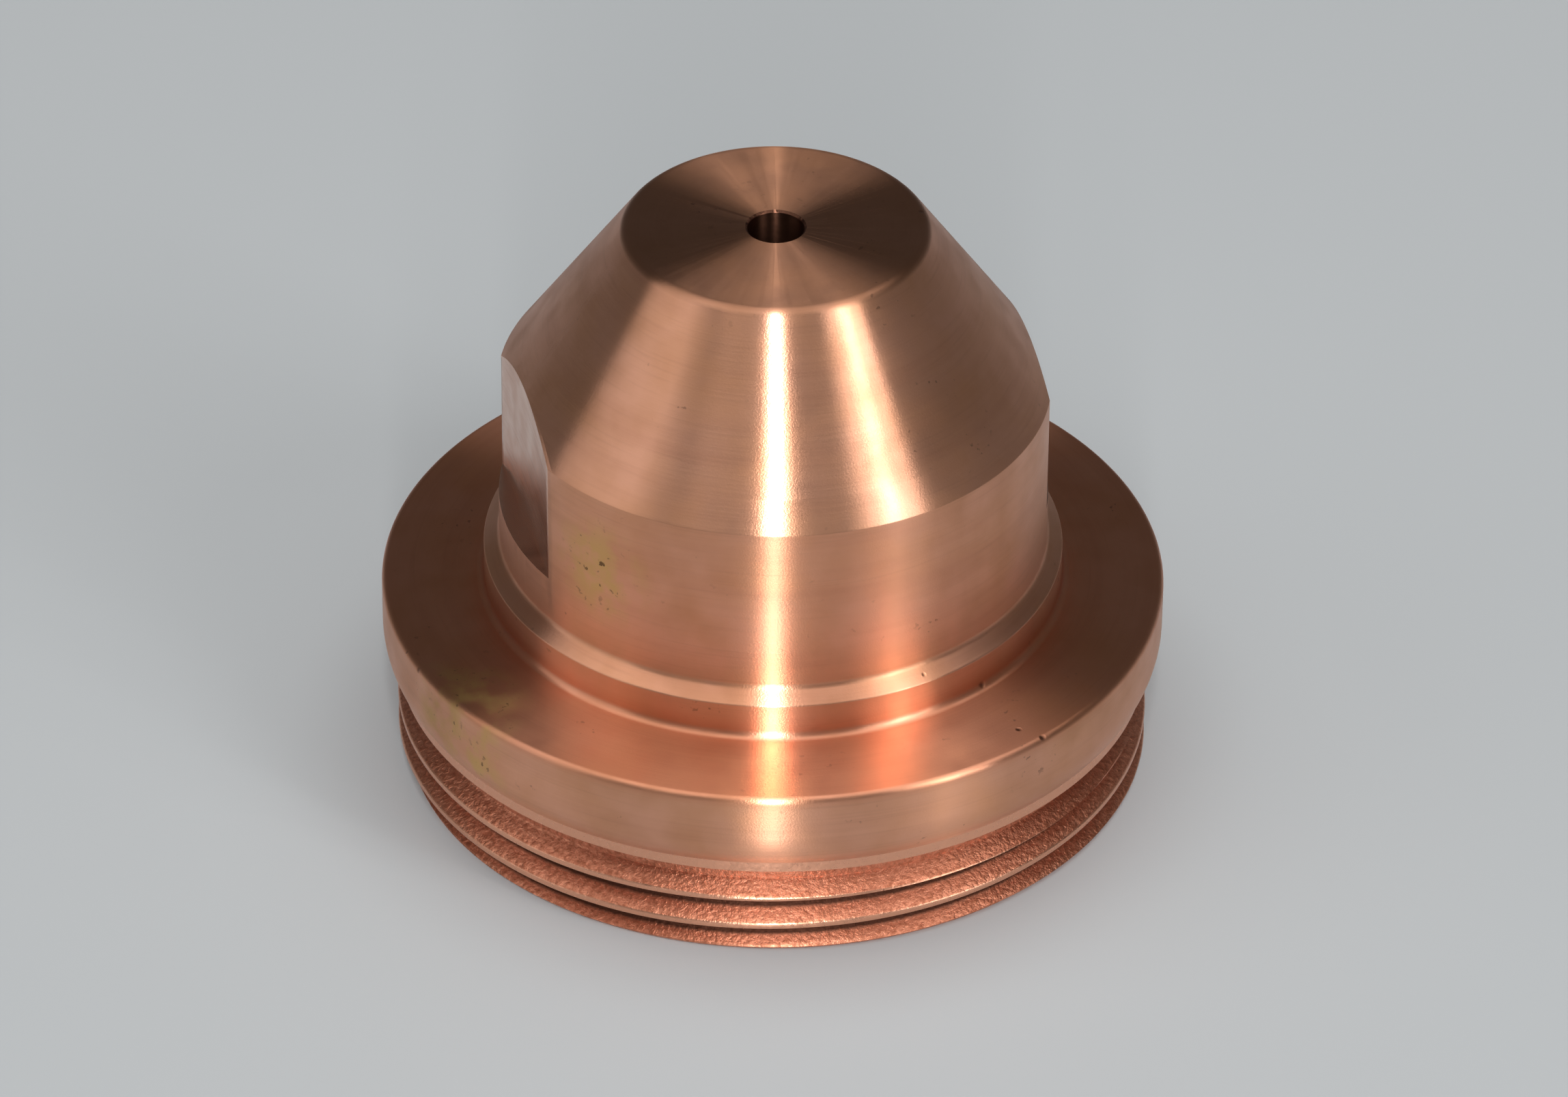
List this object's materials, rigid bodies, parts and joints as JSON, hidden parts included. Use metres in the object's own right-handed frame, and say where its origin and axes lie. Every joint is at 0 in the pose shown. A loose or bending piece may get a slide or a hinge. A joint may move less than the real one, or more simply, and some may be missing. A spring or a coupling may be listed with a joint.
{
  "type": "plasma torch nozzle",
  "caption": "Turned copper plasma torch nozzle with a cone nose, a central arc orifice, spanner flats, a seating flange and a short threaded shank, bored from the rear.",
  "frame": {"origin": "on the turning axis, at the rear rim that the nozzle stands on", "axes": "+Z along the turning axis from the rear rim to the front face; the spanner flats face -X and +X; Y runs along the flats"},
  "size_m": [0.0295, 0.0294, 0.0227],
  "materials": {
    "copper": "bare machined copper, fine turning marks"
  },
  "bodies": {
    "root": {"nozzle": "copper"}
  },
  "joints": []
}
